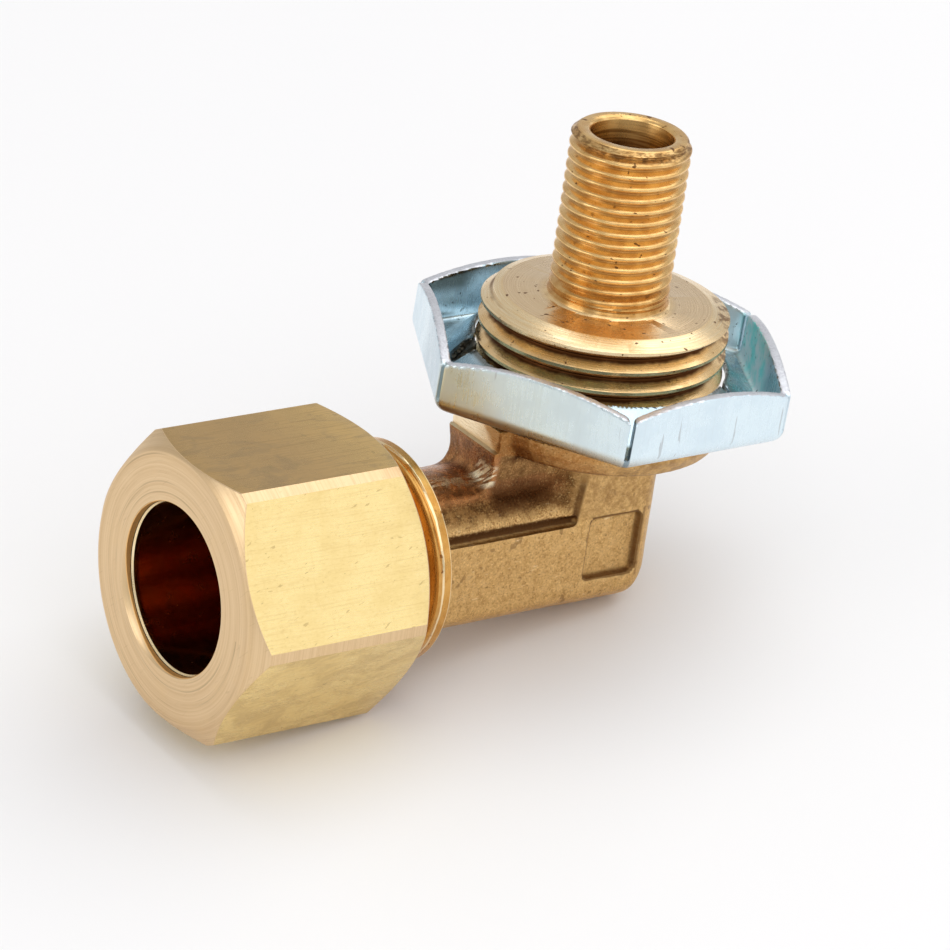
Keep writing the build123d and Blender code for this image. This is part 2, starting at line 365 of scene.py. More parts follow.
boolean(elbow, boss, "UNION")
boolean(elbow, nipple, "UNION")
boolean(elbow, male, "UNION")
wet = revolve("wet", [(MALE_X - 1, 0), (MALE_X - 1, 8.55), (MALE_X, 7.55), (MALE_X + 1.13, 6.42), (-20.2, 6.42), (-20.2, 3.2), (1.2, 3.2), (1.2 + 1.92, 0)], "X", 160, AX)
boolean(elbow, wet, "DIFFERENCE")
drill = revolve("drill", [(AX, 0), (AX, 3.13), (21.30, 3.13), (21.46, 3.22), (21.60, 3.42), (22.5, 3.42), (22.5, 0)], "Z", 132)
boolean(elbow, drill, "DIFFERENCE")
smooth(elbow, 38)

# ============================================================ compression nut
AF, CORNER, FACE_R, CH = 10.32, 11.67, 10.2, 1.05
half = math.degrees(math.acos(AF / CORNER))
local = [-30, -29.2, -28.5, -half, -27.2, -26, -24, -21.5, -19, -16, -13, -10, -7, -3.5, 0, 3.5, 7, 10, 13, 16, 19, 21.5, 24, 26, 27.2, half, 28.5, 29.2]
nut_verts, nut_rings = [], []
SL = CH / (CORNER - FACE_R)
for k in range(6):
    for a in local:
        rh = min(AF / math.cos(math.radians(a)), CORNER)
        th = math.radians(31.4 + 60 * k + a)
        cx = (rh - FACE_R) * SL
        b = 0.05
        d = 0.06 + 0.42 * max(0.0, math.cos(th + 0.75)) ** 4
        prof = [(NUT_FRONT + 0.8 * d, 6.53), (NUT_FRONT + 0.35 * d, 6.53 + 0.5 * d), (NUT_FRONT, 6.54 + d)]
        prof += [(NUT_FRONT, r) for r in (7.15, 7.6, 8.2, 8.8, 9.4, 9.9, 10.13)]
        prof += [(NUT_FRONT + 0.012, FACE_R - 0.015), (NUT_FRONT + min(0.06, cx * 0.4), FACE_R + min(0.06, cx * 0.4) / SL)]
        prof += [(NUT_FRONT + cx * f, FACE_R + (rh - FACE_R) * f) for f in (0.55, 0.8)]
        prof += [(NUT_FRONT + cx - b * 0.58, rh - b * 0.81), (NUT_FRONT + cx + b * 0.2, rh - 0.012), (NUT_FRONT + cx + b * 1.3, rh)]
        L = NUT_REAR - NUT_FRONT - 2 * cx
        prof += [(NUT_FRONT + cx + L * f, rh) for f in (0.1, 0.2, 0.3, 0.4, 0.5, 0.6, 0.7, 0.8, 0.9)]
        prof += [(NUT_REAR - cx - b * 1.3, rh), (NUT_REAR - cx - b * 0.2, rh - 0.012), (NUT_REAR - cx + b * 0.58, rh - b * 0.81)]
        prof += [(NUT_REAR - cx * f, FACE_R + (rh - FACE_R) * f) for f in (0.6, 0.3)]
        prof += [(NUT_REAR, FACE_R - 0.03), (NUT_REAR, 9.5), (NUT_REAR, 9.13), (NUT_REAR - 0.5, 8.61), (-25.0, 8.61), (-29.0, 8.61), (NUT_FRONT + 0.55 + 2.08, 8.61), (NUT_FRONT + 0.55, 6.53), (NUT_FRONT + 0.48, 6.53)]
        ring = []
        for px, pr in prof:
            ring.append(len(nut_verts))
            nut_verts.append((px, pr * math.cos(th), AX + pr * math.sin(th)))
        nut_rings.append(ring)
nut_faces = []
for i in range(len(nut_rings)):
    a, b = nut_rings[i], nut_rings[(i + 1) % len(nut_rings)]
    for j in range(len(a)):
        k = (j + 1) % len(a)
        nut_faces.append((a[j], a[k], b[k], b[j]))
nut = outward(make_object("nut_finish", nut_verts, nut_faces))
smooth(nut, 14)

# ============================================================ lock nut
LN_N = np.array((0.021, -0.018, 1.0)); LN_N /= np.linalg.norm(LN_N)
LN_X = np.array((1.0, 0.0, -0.021)); LN_X /= np.linalg.norm(LN_X)
LN_Y = np.cross(LN_N, LN_X)
LN_O = np.array((0.0, 0.0, 0.775))
APO, TURN = 13.35, 2.05
SIDE = 2 * APO / math.sqrt(3)
SLITS = ((155.0, 0.42, 10.7), (306.5, 0.35, 10.8))


def pan(x, y, z):
    t = 0.75
    hs, ss = [], []
    for k in range(6):
        c, s = math.cos(math.radians(30 + TURN + 60 * k)), math.sin(math.radians(30 + TURN + 60 * k))
        hs.append(x * c + y * s - APO)
        ss.append(-x * s + y * c)
    h = hs[0]
    for q in hs[1:]:
        h = smax(h, q, 0.4)
    hard = np.maximum.reduce(hs)
    s = np.zeros(np.broadcast(x, y, z).shape)
    for q, w in zip(hs, ss):
        s = np.where(q >= hard - 1e-9, w, s)
    rho = np.hypot(x, y)
    # dished jaws: the floor rises to the thread, with its lip along the helix
    lift = 2.0 + 1.1 * np.mod(np.degrees(np.arctan2(y, x)) - SLITS[0][0], 360.0) / 360.0
    w = 12.2 - rho
    w = np.where(w > 0.5, w, np.where(w < -0.5, 0.0, (w + 0.5) ** 2 / 2.0))
    zw = z - lift / 2.62 * w
    R = 1.2
    out = np.hypot(np.maximum(h + R, 0), np.maximum(R - zw, 0)) + np.minimum(np.maximum(h + R, R - zw), 0) - R
    hi, zi, r = h + t, t - zw, 0.42
    inn = np.hypot(np.maximum(hi + r, 0), np.maximum(zi + r, 0)) + np.minimum(np.maximum(hi + r, zi + r), 0) - r
    top = z - (5.0 - 1.0 * (s / (SIDE / 2)) ** 2)
    seam = None
    for k in range(6):
        c, q = math.cos(math.radians(TURN + 60 * k)), math.sin(math.radians(TURN + 60 * k))
        d = np.maximum(np.abs(-x * q + y * c) - 0.16, (12.6 if k in (0, 4) else 15.0) - (x * c + y * q))
        d = smax(d, 0.98 - z, 0.2)
        seam = d if seam is None else np.minimum(seam, d)
    body = smax(out, -inn, 0.05)
    edge = smax(top, -seam, 0.34)
    body = smax(body, edge, 0.12)
    body = smax(body, 9.68 - rho, 0.12)
    a = math.radians(SLITS[0][0])
    u, v = x * math.cos(a) + y * math.sin(a), -x * math.sin(a) + y * math.cos(a)
    # a sheet plugging the first slit from below; painted near-black, it stands in for the shade seen through the slit
    slit_shade_sheet = np.maximum(np.maximum(np.abs(v) - 0.56, np.maximum(9.72 - u, u - 11.0)), np.maximum(z - 0.45 - 1.1 * np.clip(12.2 - u, 0, 3), 0.25 + 0.70 * np.clip(12.2 - u, 0, 3) - z))
    for a, half, end in SLITS:
        c, q = math.cos(math.radians(a)), math.sin(math.radians(a))
        u, v = x * c + y * q, -x * q + y * c
        d = np.hypot(u - np.clip(u, 7.0, end - half), v) - half
        body = smax(body, -np.maximum(d, z - 4.6), 0.10)
    return np.minimum(body, slit_shade_sheet)


V, F = nets(pan, (-15.8, -14.0, -0.3), (15.8, 14.0, 5.5), 0.15)
V = LN_O + V[:, 0:1] * LN_X + V[:, 1:2] * LN_Y + V[:, 2:3] * LN_N
lock = outward(make_object("lock_nut_finish", V, F))
smooth(lock, 42)

# ============================================================ compression sleeve
sl = revolve("sleeve_finish", [(-35.84, 6.38), (-35.3, 6.38), (-35.2, 6.42), (-27.33, 6.42), (-27.3, 6.45), (-27.3, 6.70), (-27.34, 6.76), (-28.0, 7.42), (-28.07, 7.45), (-34.80, 7.45), (-34.87, 7.42), (-35.56, 6.76), (-35.6, 6.68), (-35.80, 6.53), (-35.95, 6.52), (-35.97, 6.505)], "X", 160, AX)
smooth(sl, 30)

# ============================================================ materials


class Mat:
    def __init__(self, name, **kw):
        self.m = bpy.data.materials.new(name)
        self.m.use_nodes = True
        self.t = self.m.node_tree
        self.t.nodes.clear()
        self.out = self.t.nodes.new("ShaderNodeOutputMaterial")
        self.b = self.t.nodes.new("ShaderNodeBsdfPrincipled")
        self.t.links.new(self.b.outputs[0], self.out.inputs["Surface"])
        for k, v in kw.items():
            self.b.inputs[k.replace("_", " ")].default_value = v
        tc = self.t.nodes.new("ShaderNodeTexCoord")
        self.P = self.vm("SCALE", tc.outputs["Object"], scale=1000.0)      # position in mm
        self.x, self.y, self.z = self.xyz(self.P)

    def put(self, sock, v):
        if isinstance(v, bpy.types.NodeSocket):
            self.t.links.new(v, sock)
        elif v is not None:
            sock.default_value = v

    def vm(self, op, a, b=None, scale=None):
        n = self.t.nodes.new("ShaderNodeVectorMath")
        n.operation = op
        self.put(n.inputs[0], a)
        if b is not None:
            self.put(n.inputs[1], b)
        if scale is not None:
            self.put(n.inputs["Scale"], scale)
        return n.outputs["Value"] if op in ("LENGTH", "DOT_PRODUCT", "DISTANCE") else n.outputs["Vector"]

    def f(self, op, a, b=None, c=None, clamp=False):
        n = self.t.nodes.new("ShaderNodeMath")
        n.operation, n.use_clamp = op, clamp
        self.put(n.inputs[0], a)
        if b is not None:
            self.put(n.inputs[1], b)
        if c is not None:
            self.put(n.inputs[2], c)
        return n.outputs[0]

    def xyz(self, v):
        n = self.t.nodes.new("ShaderNodeSeparateXYZ")
        self.put(n.inputs[0], v)
        return n.outputs

    def vec(self, x, y, z):
        n = self.t.nodes.new("ShaderNodeCombineXYZ")
        for s, v in zip(n.inputs, (x, y, z)):
            self.put(s, v)
        return n.outputs[0]

    def noise(self, v, scale, detail=3.0, rough=0.5, distort=0.0):
        n = self.t.nodes.new("ShaderNodeTexNoise")
        self.put(n.inputs["Vector"], v)
        n.inputs["Scale"].default_value = scale
        n.inputs["Detail"].default_value = detail
        n.inputs["Roughness"].default_value = rough
        n.inputs["Distortion"].default_value = distort
        return n.outputs["Fac"]

    def step(self, v, lo, hi, a=0.0, b=1.0):
        n = self.t.nodes.new("ShaderNodeMapRange")
        n.interpolation_type = "SMOOTHSTEP"
        self.put(n.inputs["Value"], v)
        for k, w in (("From Min", lo), ("From Max", hi), ("To Min", a), ("To Max", b)):
            n.inputs[k].default_value = w
        return n.outputs["Result"]

    def ramp(self, v, stops):
        n = self.t.nodes.new("ShaderNodeValToRGB")
        self.put(n.inputs[0], v)
        el = n.color_ramp.elements
        while len(el) < len(stops):
            el.new(0.5)
        for s, (p, c) in zip(el, stops):
            s.position, s.color = p, (*c, 1)
        return n.outputs[0]

    def mix(self, fac, a, b, mode="MIX"):
        n = self.t.nodes.new("ShaderNodeMix")
        n.data_type, n.blend_type, n.clamp_factor = "RGBA", mode, True
        self.put(n.inputs[0], fac)
        for s, v in ((n.inputs[6], a), (n.inputs[7], b)):
            self.put(s, (*v, 1) if isinstance(v, tuple) and len(v) == 3 else v)
        return n.outputs[2]

    def bump(self, height, dist, strength=1.0, normal=None):
        n = self.t.nodes.new("ShaderNodeBump")
        n.inputs["Strength"].default_value = strength
        n.inputs["Distance"].default_value = dist
        self.put(n.inputs["Height"], height)
        if normal is not None:
            self.put(n.inputs["Normal"], normal)
        return n.outputs[0]

    def done(self, color=None, rough=None, normal=None):
        self.put(self.b.inputs["Base Color"], color)
        self.put(self.b.inputs["Roughness"], rough)
        if normal is not None:
            self.put(self.b.inputs["Normal"], normal)
        return self.m


# forged brass skin
m = Mat("forged_skin", Metallic=1.0)
zr = m.f("SUBTRACT", m.z, AX)
ay = m.f("ABSOLUTE", m.y)
rho = m.f("SQRT", m.f("ADD", m.f("MULTIPLY", m.x, m.x), m.f("MULTIPLY", m.y, m.y)))
big = m.noise(m.P, 0.30, 4, 0.55)
mid = m.noise(m.P, 1.4, 5, 0.62)
fine = m.noise(m.P, 6.2, 5, 0.78)
grit = m.noise(m.P, 17.0, 3, 0.7)
wob = m.f("MULTIPLY", m.f("SUBTRACT", m.noise(m.P, 1.1, 4, 0.6), 0.5), 1.6)
col = m.ramp(mid, [(0.30, (0.54, 0.31, 0.105)), (0.5, (0.67, 0.41, 0.155)), (0.72, (0.76, 0.50, 0.215))])
# grain, scattered dark pits and pale scratches
col = m.mix(m.step(fine, 0.52, 0.66, 0.0, 0.72), col, (0.98, 0.69, 0.30))
col = m.mix(m.step(fine, 0.48, 0.33, 0.0, 0.68), col, (0.22, 0.105, 0.033))
spot = m.noise(m.P, 0.95, 2, 0.5)
col = m.mix(m.step(spot, 0.66, 0.72, 0.0, 0.6), col, (0.27, 0.145, 0.055))
scr = m.noise(m.vec(m.f("MULTIPLY", m.x, 0.9), m.f("MULTIPLY", m.y, 2.0), m.f("MULTIPLY", m.z, 5.5)), 1.0, 3, 0.6)
col = m.mix(m.step(scr, 0.67, 0.72, 0.0, 0.65), col, (0.94, 0.74, 0.44))
nick = m.noise(m.vec(m.f("MULTIPLY", m.x, 1.1), m.f("MULTIPLY", m.y, 1.5), m.f("MULTIPLY", m.f("ADD", m.z, 4.0), 3.2)), 1.0, 3, 0.65)
col = m.mix(m.step(nick, 0.69, 0.74, 0.0, 0.75), col, (0.16, 0.085, 0.03))
# crown: grainy foot with a painted highlight band, olive brown above
crown = m.f("MULTIPLY", m.f("MULTIPLY", m.step(zr, 2.25, 2.5), m.step(m.x, -3.3, -4.3)), m.step(ay, 4.85, 4.7))
up_c = m.f("ADD", zr, wob)
col = m.mix(m.f("MULTIPLY", crown, m.step(up_c, 2.7, 3.8, 0.15, 0.92)), col, m.mix(m.step(mid, 0.35, 0.65), (0.11, 0.048, 0.014), (0.30, 0.15, 0.048)))
col = m.mix(m.f("MULTIPLY", crown, m.step(up_c, 3.2, 2.6, 0.0, 0.50)), col, m.mix(m.step(fine, 0.42, 0.62), (0.40, 0.21, 0.07), (0.96, 0.64, 0.29)))
# web: reddish scale, with pale streaks painted as highlights on worn metal
web = m.f("MULTIPLY", m.f("MULTIPLY", m.step(m.x, -4.2, -5.4), m.step(m.z, -6.0, -5.2)), m.step(m.z, -1.7, -2.3))
col = m.mix(m.f("MULTIPLY", web, m.step(mid, 0.25, 0.6, 0.95, 0.7)), col, m.mix(m.step(m.noise(m.vec(m.f("MULTIPLY", m.x, 0.8), m.f("MULTIPLY", m.y, 1.3), m.f("MULTIPLY", m.z, 0.5)), 1.0, 4, 0.6), 0.36, 0.64), (0.22, 0.085, 0.028), (0.52, 0.225, 0.085)))
side = m.f("MULTIPLY", m.f("MULTIPLY", web, m.step(m.f("ADD", m.x, m.f("MULTIPLY", wob, 0.3)), -10.6, -10.2)), m.step(m.z, -4.6, -4.0))
col = m.mix(m.f("MULTIPLY", side, 0.8), col, m.mix(m.step(mid, 0.35, 0.65), (0.17, 0.085, 0.027), (0.38, 0.21, 0.075)))
streak = m.noise(m.vec(m.f("MULTIPLY", m.x, 0.8), m.f("MULTIPLY", m.f("ADD", m.y, m.f("MULTIPLY", m.z, 0.9)), 2.6), m.f("MULTIPLY", m.z, 0.5)), 1.0, 4, 0.6)
worn_highlight = m.f("MULTIPLY", m.f("MULTIPLY", m.step(m.y, -0.4, -1.2), m.step(m.x, -10.3, -10.7)), m.f("MULTIPLY", m.step(m.z, -4.9, -4.4), m.step(m.z, -2.8, -3.4)))
worn_highlight = m.f("MULTIPLY", worn_highlight, m.step(streak, 0.44, 0.52))
col = m.mix(worn_highlight, col, (1.0, 0.86, 0.60))
red = m.f("MULTIPLY", m.f("MULTIPLY", m.step(m.x, -11.4, -12.2), m.step(m.x, -16.0, -14.0)), m.step(zr, 4.4, 5.0))
col = m.mix(m.f("MULTIPLY", red, m.step(mid, 0.42, 0.62)), col, (0.62, 0.25, 0.08))
# painted shade in the valley and the groove, and a painted shadow under the collar
v1 = m.f("ABSOLUTE", m.f("ADD", m.f("SUBTRACT", zr, 4.55), m.f("MULTIPLY", wob, 0.25)))
valley_shade = m.f("MULTIPLY", m.f("MULTIPLY", m.step(v1, 1.7, 0.2), m.step(ay, 2.45, 2.75)), m.f("MULTIPLY", m.step(m.x, -11.3, -10.4), m.step(m.x, -3.9, -6.0)))
col = m.mix(m.f("MULTIPLY", valley_shade, 0.93), col, (0.09, 0.033, 0.010))
gx = m.f("MULTIPLY", m.step(m.x, -3.4, -3.8), m.step(m.f("ABSOLUTE", m.f("ADD", m.f("SUBTRACT", zr, 2.24), m.f("MULTIPLY", wob, 0.05))), 0.46, 0.24))
gz = m.f("MULTIPLY", m.f("MULTIPLY", m.step(m.f("ABSOLUTE", m.f("ADD", m.x, m.f("ADD", m.f("MULTIPLY", zr, -0.12), 4.1))), 0.42, 0.12), m.step(zr, 2.0, 2.3)), m.step(zr, 7.0, 4.5))
groove_shade = m.f("MULTIPLY", m.f("MAXIMUM", gx, gz), m.f("MULTIPLY", m.step(ay, 3.6, 4.0), m.step(ay, 4.92, 4.84)))
col = m.mix(m.f("MULTIPLY", groove_shade, 0.96), col, (0.075, 0.028, 0.008))
neck_shadow = m.f("MULTIPLY", m.f("MULTIPLY", m.step(m.z, -3.3, -2.45), m.step(m.z, -2.0, -2.2)), m.step(rho, 9.9, 9.5))
col = m.mix(m.f("MULTIPLY", neck_shadow, m.step(mid, 0.35, 0.65, 0.75, 0.35)), col, (0.16, 0.065, 0.02))
# collar: warmer on its left, burnt tint
warm = m.f("MULTIPLY", m.f("MULTIPLY", m.step(m.z, -2.3, -2.0), m.step(rho, 8.5, 9.2)), m.step(m.f("ADD", m.x, wob), -3.2, -7.4))
col = m.mix(m.f("MULTIPLY", warm, m.step(mid, 0.35, 0.65, 0.85, 0.45)), col, (0.46, 0.20, 0.055))
# recess: painted shade along its outline
pxm = m.f("SUBTRACT", m.f("ABSOLUTE", m.f("SUBTRACT", m.x, 0.15)), 2.45)
pzm = m.f("SUBTRACT", m.f("ABSOLUTE", m.f("ADD", zr, 0.45)), 2.6)
edge = m.f("MULTIPLY", m.step(m.f("ABSOLUTE", m.f("MAXIMUM", pxm, pzm)), 0.46, 0.12), m.f("MULTIPLY", m.step(m.y, -4.1, -4.3), m.step(m.y, -4.90, -4.86)))
col = m.mix(m.f("MULTIPLY", edge, 0.8), col, (0.13, 0.055, 0.016))
leg = m.f("MULTIPLY", m.step(zr, 2.0, 3.0), m.step(m.x, -4.2, -3.6))
col = m.mix(m.f("MULTIPLY", leg, m.step(mid, 0.35, 0.65, 0.55, 0.15)), col, (0.30, 0.16, 0.055))
scale = m.f("MAXIMUM", m.f("MAXIMUM", crown, web), m.f("MAXIMUM", neck_shadow, warm))
col = m.mix(m.f("MULTIPLY", m.f("MULTIPLY", scale, m.f("SUBTRACT", 1.0, m.f("MULTIPLY", valley_shade, 0.75))), m.step(fine, 0.54, 0.68, 0.0, 0.55)), col, (0.92, 0.62, 0.27))
col = m.mix(m.f("MULTIPLY", scale, m.step(fine, 0.46, 0.34, 0.0, 0.5)), col, (0.10, 0.042, 0.012))
rough = m.f("ADD", m.step(mid, 0.3, 0.7, 0.33, 0.46), m.step(fine, 0.3, 0.7, -0.06, 0.09))
rough = m.f("SUBTRACT", rough, m.f("MULTIPLY", crown, 0.10))
rough = m.f("ADD", rough, m.f("ADD", m.f("MULTIPLY", worn_highlight, 0.08), m.f("MULTIPLY", web, -0.10)))
nb = m.bump(grit, 0.016 * MM, 0.9)
nb = m.bump(fine, 0.055 * MM, 0.9, nb)
nb = m.bump(mid, 0.07 * MM, 0.8, nb)
forged = m.done(col, rough, nb)

# milled facet on the web's head
m = Mat("milled_brass", Metallic=1.0)
tool = m.noise(m.vec(m.f("MULTIPLY", m.x, 3.0), m.f("MULTIPLY", m.y, 1.0), m.f("MULTIPLY", m.z, 9.0)), 1.0, 3, 0.6)
# painted reflection: a diagonal split into a bright cream part and a tan part
cut = m.f("ADD", m.y, m.f("MULTIPLY", m.z, -1.0))
col = m.mix(m.step(m.f("ADD", cut, m.f("MULTIPLY", tool, 0.8)), -0.6, 0.2), (0.60, 0.36, 0.15), (0.98, 0.80, 0.54))
col = m.mix(m.step(tool, 0.5, 0.7, 0.0, 0.4), col, (0.80, 0.58, 0.32))
milled = m.done(col, m.f("ADD", m.step(tool, 0.3, 0.7, 0.24, 0.36), m.step(m.z, -1.7, -1.8, 0.0, 0.25)), m.bump(tool, 0.015 * MM, 0.8))


# turned brass: boss, nipple and threads, with dirt in the roots
def turned_brass(name, light, deep, dirt_col, along):
    m = Mat(name, Metallic=1.0)
    if along == "Z":
        u, v, w = m.x, m.y, m.z
    else:
        u, v, w = m.y, m.f("SUBTRACT", m.z, AX), m.x
    rho = m.f("SQRT", m.f("ADD", m.f("MULTIPLY", u, u), m.f("MULTIPLY", v, v)))
    slow = m.f("MULTIPLY", m.noise(m.P, 0.25, 1), 2.0)
    marks = m.noise(m.vec(m.f("MULTIPLY", rho, 11.0), m.f("MULTIPLY", w, 11.0), slow), 1.0, 3, 0.6)
    wide = m.noise(m.vec(m.f("MULTIPLY", rho, 3.0), m.f("MULTIPLY", w, 3.0), slow), 1.0, 2, 0.5)
    cloud = m.noise(m.P, 0.7, 5, 0.62)
    speck = m.noise(m.P, 3.3, 3, 0.65)
    col = m.mix(m.step(cloud, 0.35, 0.7), light, deep)
    col = m.mix(m.step(wide, 0.5, 0.72, 0.0, 0.30), col, deep)
    if along == "Z":
        on_boss = m.step(m.z, 7.95, 7.7)
        root = m.f("ADD", m.f("MULTIPLY", on_boss, m.f("SUBTRACT", 9.5, rho)), m.f("MULTIPLY", m.f("SUBTRACT", 1.0, on_boss), m.f("MULTIPLY", m.step(m.z, 8.5, 9.0), m.f("SUBTRACT", 4.58, rho))))
        d1 = m.f("MULTIPLY", on_boss, m.step(m.f("ADD", m.f("SUBTRACT", 9.5, rho), m.f("MULTIPLY", m.f("SUBTRACT", cloud, 0.5), 0.5)), 0.50, 0.84))
        d2 = m.f("MULTIPLY", m.f("MULTIPLY", m.f("SUBTRACT", 1.0, on_boss), m.step(m.z, 9.0, 9.6)), m.step(m.f("SUBTRACT", 4.58, rho), 0.34, 0.54, 0.0, 0.30))
        d2 = m.f("MULTIPLY", d2, m.step(m.z, 21.0, 20.6))
        dirt = m.f("MAXIMUM", d1, d2)
        # brown patches on the boss's right and on the nipple's rim
        ang = m.f("ARCTAN2", m.y, m.x)
        patch = m.f("MULTIPLY", m.f("MULTIPLY", m.step(ang, -1.05, -0.75), m.step(ang, -0.1, -0.45)), m.f("MULTIPLY", m.step(m.z, 4.0, 4.8), m.step(rho, 8.3, 8.7)))
        patch = m.f("MULTIPLY", patch, m.step(m.noise(m.P, 1.3, 5, 0.7), 0.44, 0.56))
        rough_end = m.noise(m.vec(m.f("MULTIPLY", m.x, 2.0), m.f("MULTIPLY", m.y, 2.0), m.f("MULTIPLY", m.z, 7.0)), 1.0, 4, 0.65)
        rim = m.f("MULTIPLY", m.f("MULTIPLY", m.step(m.z, 20.5, 20.9), m.step(m.z, 21.56, 21.50)), m.step(rough_end, 0.58, 0.40, 0.25, 1.0))
        rim = m.f("MULTIPLY", rim, m.step(rho, 3.5, 3.7))
        flake = m.f("MULTIPLY", m.f("MULTIPLY", m.step(m.z, 20.6, 20.9), m.step(m.z, 21.52, 21.45)), m.f("MULTIPLY", m.step(rough_end, 0.56, 0.62), m.step(rho, 3.5, 3.7)))
        col = m.mix(m.f("MULTIPLY", flake, 0.85), col, (0.99, 0.84, 0.56))
        dirt = m.f("MAXIMUM", m.f("MAXIMUM", dirt, m.f("MULTIPLY", patch, 0.8)), m.f("MULTIPLY", rim, 0.75))
        stain = m.f("MULTIPLY", m.f("MULTIPLY", m.step(m.z, 8.2, 8.24), m.step(rho, 8.1, 7.9)), m.step(cloud, 0.44, 0.62))
        col = m.mix(m.f("MULTIPLY", stain, 0.35), col, (0.62, 0.46, 0.28))
        face = m.f("MULTIPLY", m.step(m.z, 8.22, 8.255), m.step(rho, 8.05, 7.9))
        col = m.mix(m.f("MULTIPLY", m.f("MULTIPLY", face, m.step(rho, 4.75, 5.4)), 0.7), col, m.mix(m.step(marks, 0.35, 0.65), (0.78, 0.57, 0.35), (0.92, 0.72, 0.47)))
        bevel = m.f("MULTIPLY", m.f("MULTIPLY", m.step(m.z, 7.0, 7.25), m.step(m.z, 8.3, 8.26)), m.step(rho, 7.9, 8.1))
        col = m.mix(m.f("MULTIPLY", bevel, 0.75), col, m.mix(m.step(marks, 0.38, 0.62), (0.99, 0.83, 0.55), (0.86, 0.64, 0.36)))
        stem = m.step(m.z, 8.3, 8.6)
        col = m.mix(m.f("MULTIPLY", stem, 0.75), col, m.mix(m.step(cloud, 0.35, 0.65), (0.88, 0.565, 0.215), (0.72, 0.41, 0.125)))
        low = m.f("MULTIPLY", m.f("MULTIPLY", stem, m.step(m.z, 11.5, 8.6)), m.step(cloud, 0.25, 0.6, 0.4, 0.8))
        col = m.mix(low, col, (0.46, 0.215, 0.05))
    else:
        dirt = m.f("MULTIPLY", m.step(m.f("SUBTRACT", 8.53, rho), 0.35, 0.7, 0.0, 0.6), m.step(cloud, 0.3, 0.6, 0.5, 1.0))
        # painted highlight: pale cream lines along the first thread crest and the ring's edge
        crest_edge_highlight = m.f("ABSOLUTE", m.f("ADD", m.f("SUBTRACT", m.x, RING_X - 0.78), m.f("MULTIPLY", m.f("SUBTRACT", cloud, 0.5), 0.25)))
        crest_edge_highlight = m.f("MAXIMUM", m.step(crest_edge_highlight, 0.10, 0.05), m.step(m.x, RING_X - 0.16, RING_X - 0.10))
        col = m.mix(m.f("MULTIPLY", crest_edge_highlight, 0.8), col, (0.97, 0.80, 0.50))
    dark = m.f("MULTIPLY", m.step(speck, 0.70, 0.75), m.step(cloud, 0.40, 0.55))
    dirt = m.f("MAXIMUM", dirt, m.f("MULTIPLY", dark, 0.75))
    dot = m.noise(m.vec(u, v, m.f("MULTIPLY", w, 1.9)), 1.75, 1, 0.5)
    dirt = m.f("MAXIMUM", dirt, m.step(dot, 0.715, 0.75, 0.0, 0.88))
    col = m.mix(dirt, col, dirt_col)
    rough = m.f("ADD", m.step(cloud, 0.3, 0.7, 0.19, 0.28), m.step(marks, 0.3, 0.7, -0.03, 0.05))
    rough = m.f("ADD", rough, m.f("MULTIPLY", dirt, 0.25))
    nb = m.bump(marks, 0.012 * MM, 0.8)
    nb = m.bump(speck, 0.010 * MM, 0.5, nb)
    return m.done(col, rough, nb)


turned = turned_brass("turned_brass", (0.92, 0.66, 0.345), (0.82, 0.545, 0.245), (0.13, 0.05, 0.015), "Z")
# the sleeve's paler brass is partly its own tone and partly a painted reflection on its recessed front ring
turned_s = turned_brass("sleeve_turned", (0.97, 0.79, 0.49), (0.90, 0.69, 0.38), (0.30, 0.15, 0.05), "Z")
turned_x = turned_brass("turned_brass_end", (0.68, 0.37, 0.105), (0.55, 0.265, 0.06), (0.24, 0.09, 0.02), "X")

# nut: drawn flats with lengthwise lines, smudges and scratches
m = Mat("nut_brass", Metallic=1.0)
lines = m.noise(m.vec(m.f("MULTIPLY", m.x, 0.16), m.f("MULTIPLY", m.y, 8.0), m.f("MULTIPLY", m.z, 8.0)), 1.0, 4, 0.65)
grain = m.noise(m.vec(m.f("MULTIPLY", m.x, 3.0), m.f("MULTIPLY", m.y, 6.0), m.f("MULTIPLY", m.z, 6.0)), 1.0, 4, 0.7)
cross = m.noise(m.vec(m.f("MULTIPLY", m.x, 5.0), m.f("MULTIPLY", m.y, 0.5), m.f("MULTIPLY", m.z, 0.5)), 1.0, 3, 0.6)
cloud = m.noise(m.P, 0.32, 5, 0.62)
blot = m.noise(m.vec(m.f("MULTIPLY", m.x, 0.55), m.f("MULTIPLY", m.y, 1.0), m.f("MULTIPLY", m.z, 1.0)), 0.55, 5, 0.68, 0.6)
speck = m.noise(m.P, 2.6, 3, 0.6)
zc = m.f("SUBTRACT", m.z, AX)
top = m.step(m.vm("DOT_PRODUCT", m.vec(m.x, m.y, zc), (0.0, math.cos(math.radians(91.4)), math.sin(math.radians(91.4)))), 10.05, 10.2)
col = m.mix(m.step(cloud, 0.35, 0.7), (0.93, 0.725, 0.335), (0.89, 0.68, 0.295))
col = m.mix(m.step(lines, 0.50, 0.68, 0.0, 0.34), col, (0.74, 0.525, 0.21))
col = m.mix(m.step(grain, 0.50, 0.72, 0.0, 0.45), col, (0.98, 0.78, 0.40))
col = m.mix(m.step(grain, 0.47, 0.30, 0.0, 0.30), col, (0.62, 0.43, 0.17))
col = m.mix(m.step(cross, 0.58, 0.72, 0.0, 0.22), col, (0.74, 0.53, 0.22))
col = m.mix(m.step(blot, 0.60, 0.70, 0.0, 0.16), col, (0.60, 0.44, 0.20))
along = m.step(m.f("ADD", m.x, m.f("MULTIPLY", blot, 3.0)), -29.0, -17.5)
